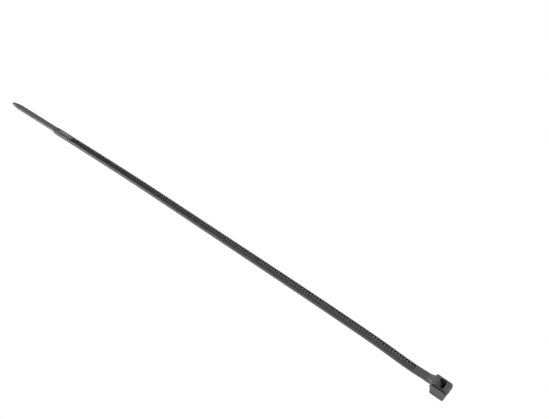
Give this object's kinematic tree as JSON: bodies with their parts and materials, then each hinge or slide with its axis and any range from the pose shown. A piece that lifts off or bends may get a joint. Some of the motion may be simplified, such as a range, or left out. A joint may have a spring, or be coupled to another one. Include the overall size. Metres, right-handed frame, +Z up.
{
  "type": "cable tie",
  "caption": "Self-locking nylon cable tie in one piece: toothed ladder strap with a plain pointed tail, and a tapered head whose slot holds a ratchet pawl.",
  "frame": {"origin": "middle of the overall length and width, on the surface that the tie lies on", "axes": "+X from the tip of the tail to the head, +Z up out of the toothed face and the entry face of the head, +Y across the strap"},
  "size_m": [0.25, 0.0064, 0.0063],
  "materials": {
    "nylon": "moulded satin black nylon"
  },
  "bodies": {
    "root": {"cable_tie": "nylon"}
  },
  "joints": []
}
